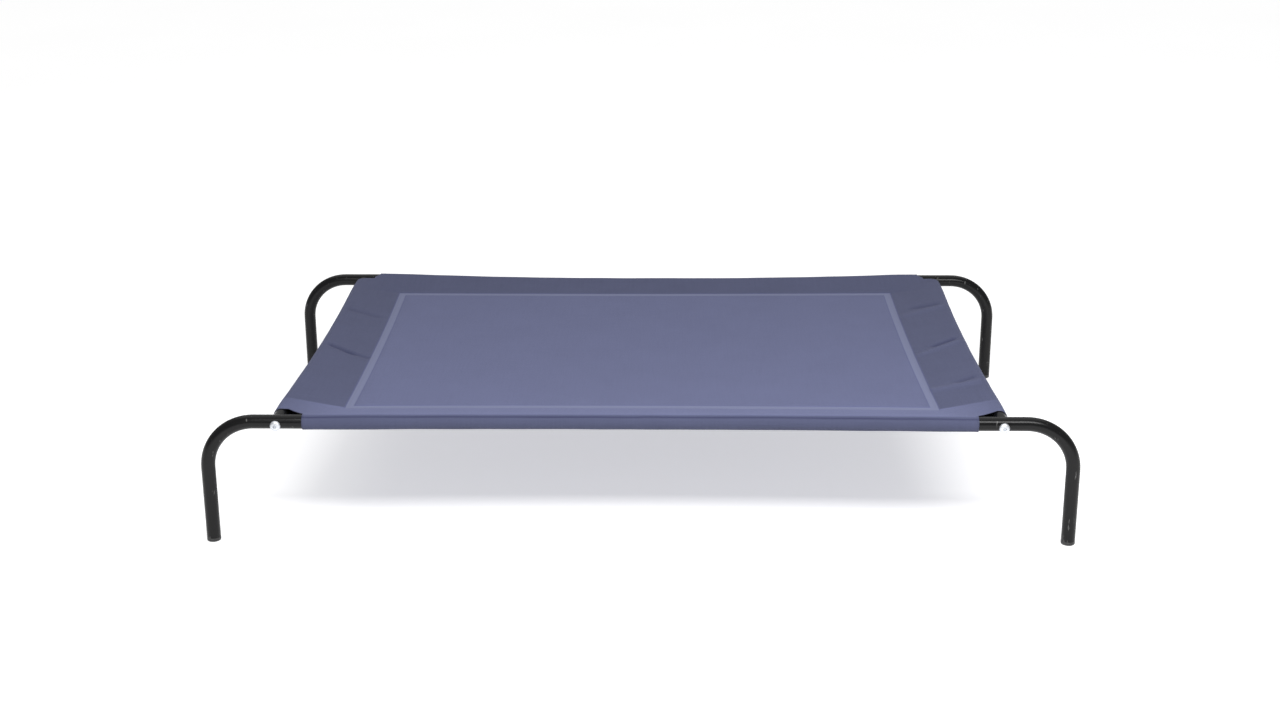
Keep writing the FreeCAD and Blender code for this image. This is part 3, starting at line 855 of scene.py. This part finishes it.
woven_cloth, tree, shader = new_finish(
    "coated_plain_weave_polyester", Roughness=0.78, IOR=1.48, Sheen_Weight=0.1, Sheen_Roughness=0.5
)
shader.inputs["Sheen Tint"].default_value = linear("b9bdd6")
shader.inputs["Specular IOR Level"].default_value = 0.2
sheet_uv = add(tree, "ShaderNodeUVMap", uv_map="cut_sheet")

# The weave: warp and weft rise and dip along the sheet, and each crossing shows one of them. The
# weft is drawn paler, partly as a painted sheen, and the dips between the threads get painted shade.
phase = add(tree, "ShaderNodeVectorMath", {0: sheet_uv, "Scale": math.pi / THREAD}, operation="SCALE")
waves = add(tree, "ShaderNodeVectorMath", {0: phase}, operation="SINE")
wave = add(tree, "ShaderNodeSeparateXYZ", {0: waves}).outputs
crossing = add(tree, "ShaderNodeMath", {0: wave["X"], 1: wave["Y"]}, operation="MULTIPLY")
over = add(tree, "ShaderNodeMath", {0: crossing, 1: 0.0}, operation="GREATER_THAN")
bulge = add(tree, "ShaderNodeMath", {0: crossing}, operation="ABSOLUTE")
crown = add(tree, "ShaderNodeMath", {0: bulge, 1: 0.6}, operation="POWER")
# Painted shade in the dips between the threads.
gap_shade_share = add(tree, "ShaderNodeMapRange", {"Value": crown, "To Min": 0.55, "To Max": 0.0})
thread_tone = add(tree, "ShaderNodeMix", {"Factor": over, 6: CLOTH_WARP, 7: CLOTH_WEFT}, data_type="RGBA")
woven_tone = add(
    tree, "ShaderNodeMix", {"Factor": gap_shade_share, 6: thread_tone.outputs[2], 7: CLOTH_GAP_SHADE}, data_type="RGBA"
)

# Slubs run along the threads both ways, and the dye is cloudy.
stretch_x = add(
    tree, "ShaderNodeMapping", {"Vector": sheet_uv, "Scale": (1 / SLUB_LENGTH, 1 / THREAD, 1.0)}
)
stretch_y = add(
    tree, "ShaderNodeMapping", {"Vector": sheet_uv, "Scale": (1 / THREAD, 1 / SLUB_LENGTH, 1.0)}
)
slub_x = add(tree, "ShaderNodeTexNoise", {"Vector": stretch_x, "Scale": 0.5, "Detail": 2.0})
slub_y = add(tree, "ShaderNodeTexNoise", {"Vector": stretch_y, "Scale": 0.5, "Detail": 2.0})
clouding = add(tree, "ShaderNodeTexNoise", {"Vector": sheet_uv, "Scale": 1 / CLOUDING, "Detail": 3.0})
slubs = add(tree, "ShaderNodeMath", {0: slub_x, 1: slub_y}, operation="ADD")
patches = add(tree, "ShaderNodeMath", {0: slubs, 1: clouding}, operation="ADD")
uneven = add(tree, "ShaderNodeMath", {0: patches, 1: UNEVENNESS, 2: DYE_LEVEL}, operation="MULTIPLY_ADD")

# How far a point lies outside the rectangle of the welds, on the flat sheet, past its low sides
# (left, front) and its high ones (right, rear), and then past the hems' folded edges.
mirrored = add(tree, "ShaderNodeVectorMath", {0: sheet_uv, "Scale": -1.0}, operation="SCALE")
low_weld = (WELD_X[-1], WELD_Y[-1], 0.0)
high_weld = (WELD_X[1], WELD_Y[1], 0.0)
past_low = add(tree, "ShaderNodeVectorMath", {0: mirrored, 1: low_weld}, operation="SUBTRACT")
past_high = add(tree, "ShaderNodeVectorMath", {0: sheet_uv, 1: high_weld}, operation="SUBTRACT")
past_welds = add(tree, "ShaderNodeVectorMath", {0: past_low, 1: past_high}, operation="MAXIMUM")
past = add(tree, "ShaderNodeSeparateXYZ", {0: past_welds}).outputs
past_end = past["X"]
outside = add(tree, "ShaderNodeMath", {0: past_end, 1: past["Y"]}, operation="MAXIMUM")
low_edge = (end_hem[-1] - STRIP_HALF, side_hem[-1] - STRIP_HALF, 0.0)
high_edge = (end_hem[1] - STRIP_HALF, side_hem[1] - STRIP_HALF, 0.0)
low_hem = add(tree, "ShaderNodeVectorMath", {0: past_low, 1: low_edge}, operation="SUBTRACT")
high_hem = add(tree, "ShaderNodeVectorMath", {0: past_high, 1: high_edge}, operation="SUBTRACT")
past_hems = add(tree, "ShaderNodeVectorMath", {0: low_hem, 1: high_hem}, operation="MAXIMUM")
hem = add(tree, "ShaderNodeSeparateXYZ", {0: past_hems}).outputs
hem_end = add(tree, "ShaderNodeMath", {0: hem["X"], 1: hem["Y"]}, operation="MAXIMUM")

# The pressed strip lies on the sheet twice, at the weld and at the folded edge that it holds.
# It has fine slanting ribs, and beside the weld on the face a rim of painted shade.
from_weld = add(tree, "ShaderNodeMath", {0: outside}, operation="ABSOLUTE")
from_hem = add(tree, "ShaderNodeMath", {0: hem_end}, operation="ABSOLUTE")
from_strip = add(tree, "ShaderNodeMath", {0: from_weld, 1: from_hem}, operation="MINIMUM")
pressed = add(
    tree, "ShaderNodeMapRange",
    {"Value": from_strip, "From Min": STRIP_HALF, "From Max": STRIP_HALF + STRIP_RAMP,
     "To Min": 1.0, "To Max": 0.0},
)
near_weld = add(
    tree, "ShaderNodeMapRange",
    {"Value": from_weld, "From Min": STRIP_HALF + RIM_WIDTH, "From Max": STRIP_HALF + 1.5 * RIM_WIDTH,
     "To Min": 1.0, "To Max": 0.0},
)
rim = add(tree, "ShaderNodeMath", {0: near_weld, 1: pressed}, operation="SUBTRACT")
rib_turn = 2 * math.pi / RIB_PITCH
rib_phase = add(
    tree, "ShaderNodeVectorMath", {0: sheet_uv, 1: (rib_turn, rib_turn, 0.0)}, operation="DOT_PRODUCT"
).outputs["Value"]
ribs = add(tree, "ShaderNodeMath", {0: rib_phase}, operation="SINE")

# The panel is one layer and lets the light of the floor through; the sleeves are two, and get
# painted shade for it. The top of the front sleeve gets a painted sheen, as far as its fold, and a
# little round the corners. Below the fold it gets painted shade, more and more towards its underside.
fold_flat = STRIP_HALF + side_flat[-1]["top"] + fold_share * side_flat[-1]["wrap"]
front = add(tree, "ShaderNodeSeparateXYZ", {0: past_low}).outputs["Y"]
past_corner = add(tree, "ShaderNodeMath", {0: past_end, 1: 0.0}, operation="MAXIMUM")
beside = add(
    tree, "ShaderNodeMath", {0: past_corner, 1: CORNER_SPREAD, 2: front}, operation="MULTIPLY_ADD"
)
# Painted sheen on the top of the front sleeve, where it faces the light behind the bed.
sheen_start = add(tree, "ShaderNodeMapRange", {"Value": beside, "From Min": 0.0, "From Max": 4 * MM})
sheen_fade = add(
    tree, "ShaderNodeMapRange",
    {"Value": past_end, "From Min": 0.0, "From Max": 90 * MM, "To Min": 1.0, "To Max": 0.3},
)
sheen_end = add(
    tree, "ShaderNodeMapRange",
    {"Value": front, "From Min": fold_flat - 5.5 * MM, "From Max": fold_flat - 1.5 * MM,
     "To Min": 1.0, "To Max": 0.0},
)
sheen_across = add(tree, "ShaderNodeMath", {0: sheen_start, 1: sheen_fade}, operation="MULTIPLY")
painted_sheen = add(tree, "ShaderNodeMath", {0: sheen_across, 1: sheen_end}, operation="MULTIPLY")
# Painted shade over the two-layer sleeves, turned to a painted sheen on top of the front one.
hem_shade = add(
    tree, "ShaderNodeMapRange", {"Value": painted_sheen, "To Min": DOUBLED_PAINTED_SHADE, "To Max": -FRONT_SHEEN_LIFT}
)
doubled = add(tree, "ShaderNodeMapRange", {"Value": outside, "From Min": 0.0, "From Max": 0.5 * MM})
shaded = add(tree, "ShaderNodeMath", {0: doubled, 1: hem_shade}, operation="MULTIPLY")
# Painted shade below the front sleeve's fold, growing towards its underside.
painted_underside_shade = add(
    tree, "ShaderNodeMapRange",
    {"Value": front, "From Min": fold_flat, "From Max": fold_flat + 20 * MM,
     "To Min": 0.0, "To Max": UNDERSIDE_PAINTED_SHADE},
)
fold = add(tree, "ShaderNodeAttribute", attribute_name="painted_fold_shade").outputs["Fac"]
# Painted highlight on the crests beside creases, from the values below zero.
crest = add(
    tree, "ShaderNodeMapRange",
    {"Value": fold, "From Min": -1.0, "From Max": 0.0, "To Min": CREST_PAINTED_HIGHLIGHT, "To Max": 0.0},
)
brightness = uneven
for shade in (shaded, painted_underside_shade):
    brightness = add(tree, "ShaderNodeMath", {0: brightness, 1: shade}, operation="SUBTRACT")
brightness = add(tree, "ShaderNodeMath", {0: brightness, 1: crest}, operation="ADD")
dyed = add(tree, "ShaderNodeHueSaturation", {"Value": brightness, "Color": woven_tone.outputs[2]})

# Painted shade of the rim beside the weld.
rim_shade_share = add(tree, "ShaderNodeMath", {0: rim, 1: 0.6}, operation="MULTIPLY")
weld_share = add(tree, "ShaderNodeMath", {0: pressed, 1: 0.85}, operation="MULTIPLY")
# Painted shade along the front fold and the sunk creases.
fold_shade = add(tree, "ShaderNodeMath", {0: fold, 1: 0.9}, operation="MULTIPLY")
with_rim = add(tree, "ShaderNodeMix", {"Factor": rim_shade_share, 6: dyed, 7: WELD_EDGE_SHADE}, data_type="RGBA")
with_weld = add(
    tree, "ShaderNodeMix", {"Factor": weld_share, 6: with_rim.outputs[2], 7: WELD_PALE}, data_type="RGBA"
)
with_fold = add(
    tree, "ShaderNodeMix", {"Factor": fold_shade, 6: with_weld.outputs[2], 7: FOLD_PAINTED_SHADE}, data_type="RGBA"
)
gloss = add(tree, "ShaderNodeMapRange", {"Value": pressed, "To Min": 0.78, "To Max": 0.66})
rib_height = add(tree, "ShaderNodeMath", {0: ribs, 1: 0.25}, operation="MULTIPLY")
relief = add(tree, "ShaderNodeMix", {"Factor": pressed, 2: crown, 3: rib_height}, data_type="FLOAT")
weave_bump = add(tree, "ShaderNodeBump", {"Height": relief, "Strength": 0.5, "Distance": 0.25 * MM})
tree.links.new(with_fold.outputs[2], shader.inputs["Base Color"])
tree.links.new(gloss.outputs[0], shader.inputs["Roughness"])
tree.links.new(weave_bump.outputs[0], shader.inputs["Normal"])

# The coating on the back: polyvinyl chloride spread as a paste and cured, darker and smoother
# than the face, with the weave printing through it.
COATING = linear("4b4d66")
COATING_WORN = linear("5a5c74")

coated_back, tree, shader = new_finish("cured_vinyl_coating", IOR=1.52)
sheet_uv = add(tree, "ShaderNodeUVMap", uv_map="cut_sheet")
patchy = add(tree, "ShaderNodeTexNoise", {"Vector": sheet_uv, "Scale": 1 / CLOUDING, "Detail": 5.0})
back_colour = add(
    tree, "ShaderNodeMix", {"Factor": patchy.outputs["Fac"], 6: COATING, 7: COATING_WORN}, data_type="RGBA"
)
back_gloss = add(
    tree, "ShaderNodeMapRange", {"Value": patchy.outputs["Fac"], "To Min": 0.42, "To Max": 0.6}
)
phase = add(tree, "ShaderNodeVectorMath", {0: sheet_uv, "Scale": math.pi / THREAD}, operation="SCALE")
waves = add(tree, "ShaderNodeVectorMath", {0: phase}, operation="SINE")
wave = add(tree, "ShaderNodeSeparateXYZ", {0: waves}).outputs
crossing = add(tree, "ShaderNodeMath", {0: wave["X"], 1: wave["Y"]}, operation="MULTIPLY")
print_through = add(tree, "ShaderNodeMath", {0: crossing}, operation="ABSOLUTE")
back_bump = add(tree, "ShaderNodeBump", {"Height": print_through, "Strength": 0.25, "Distance": 0.1 * MM})
tree.links.new(back_colour.outputs[2], shader.inputs["Base Color"])
tree.links.new(back_gloss.outputs[0], shader.inputs["Roughness"])
tree.links.new(back_bump.outputs[0], shader.inputs["Normal"])

mesh.materials.append(woven_cloth)
mesh.materials.append(coated_back)

thicken = sling.modifiers.new("cloth thickness", "SOLIDIFY")
thicken.thickness = CLOTH
thicken.offset = 0.0
thicken.use_rim = True
thicken.material_offset = 1
thicken.material_offset_rim = 1

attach(sling, "root")
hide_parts(*sling_nodes)


# ---------------------------------------------------------------- floor, light and camera
# A plain pale studio floor, a large soft light overhead and behind, and weaker ones in front.

FLOOR_SIZE = 80.0
PAPER_GREY = linear("ebebeb")
PAPER_PALE = linear("efefef")
floor_mesh = bpy.data.meshes.new("floor")
half = FLOOR_SIZE / 2
floor_corners = [(-half, -half, 0), (half, -half, 0), (half, half, 0), (-half, half, 0)]
floor_mesh.from_pydata(floor_corners, [], [(0, 1, 2, 3)])
floor = bpy.data.objects.new("floor", floor_mesh)
bpy.context.scene.collection.objects.link(floor)
paper, tree, shader = new_finish("matt_white_backdrop_paper", Roughness=0.9)
shader.inputs["Specular IOR Level"].default_value = 0.1
place = add(tree, "ShaderNodeTexCoord").outputs["Object"]
fibre = add(tree, "ShaderNodeTexNoise", {"Vector": place, "Scale": 1.5, "Detail": 2.0})
paper_colour = add(
    tree, "ShaderNodeMix", {"Factor": fibre, 6: PAPER_GREY, 7: PAPER_PALE}, data_type="RGBA"
)
tree.links.new(paper_colour.outputs[2], shader.inputs["Base Color"])
shader.inputs["Emission Color"].default_value = linear("ffffff")
shader.inputs["Emission Strength"].default_value = 0.5
floor_mesh.materials.append(paper)

# A broad bank overhead, a little behind the bed, and a weak one in front. Each is a sun, so the
# floor is lit evenly as far as it goes, and so wide that its shadows stay soft.
world = bpy.data.worlds.new("studio")
bpy.context.scene.world = world
world.use_nodes = True
world.node_tree.nodes["Background"].inputs["Color"].default_value = linear("ffffff")
world.node_tree.nodes["Background"].inputs["Strength"].default_value = 0.33


def light_bank(name, azimuth, elevation, width, strength):
    """Even light from a direction, with its azimuth in degrees from the front towards the right."""
    lamp = bpy.data.lights.new(name, "SUN")
    lamp.angle = math.radians(width)
    lamp.energy = strength
    light = bpy.data.objects.new(name, lamp)
    low = math.cos(math.radians(elevation))
    turn = math.radians(azimuth)
    source = Vector((low * math.sin(turn), -low * math.cos(turn), math.sin(math.radians(elevation))))
    light.rotation_euler = source.to_track_quat("Z", "Y").to_euler()
    bpy.context.scene.collection.objects.link(light)


light_bank("overhead bank", 180, 64, 70, 0.8)
light_bank("front bank", -12, 30, 14, 0.08)

# One long softbox high in front lights the near legs and screws more than the far ones, and draws
# the highlight along the tubes.
softbox = bpy.data.lights.new("front softbox", "AREA")
softbox.shape = "RECTANGLE"
softbox.size = 2.2
softbox.size_y = 0.45
softbox.energy = 43
front_light = bpy.data.objects.new("front softbox", softbox)
front_light.location = (0.35, -1.5, 1.6)
near_side = Vector((front_light.location.x, -side_y, side_z))
front_light.rotation_euler = (front_light.location - near_side).to_track_quat("Z", "Y").to_euler()
bpy.context.scene.collection.objects.link(front_light)

SENSOR = 36.0
lens_camera = bpy.data.cameras.new("camera")
lens_camera.sensor_width = SENSOR
lens_camera.lens = 50.63
camera = bpy.data.objects.new("camera", lens_camera)
bpy.context.scene.collection.objects.link(camera)
camera.location = (0.0552, -2.8693, 1.0962)
yaw, pitch, roll = -0.0212, 0.3156, -0.0039
aim = Vector((math.sin(yaw) * math.cos(pitch), math.cos(yaw) * math.cos(pitch), -math.sin(pitch)))
right = Vector((math.cos(yaw), -math.sin(yaw), 0))
up = right.cross(aim)
tilted_right = math.cos(roll) * right + math.sin(roll) * up
tilted_up = math.cos(roll) * up - math.sin(roll) * right
camera.rotation_euler = Matrix((tilted_right, tilted_up, -aim)).transposed().to_euler()
bpy.context.scene.camera = camera
bpy.context.scene.view_settings.view_transform = "Standard"
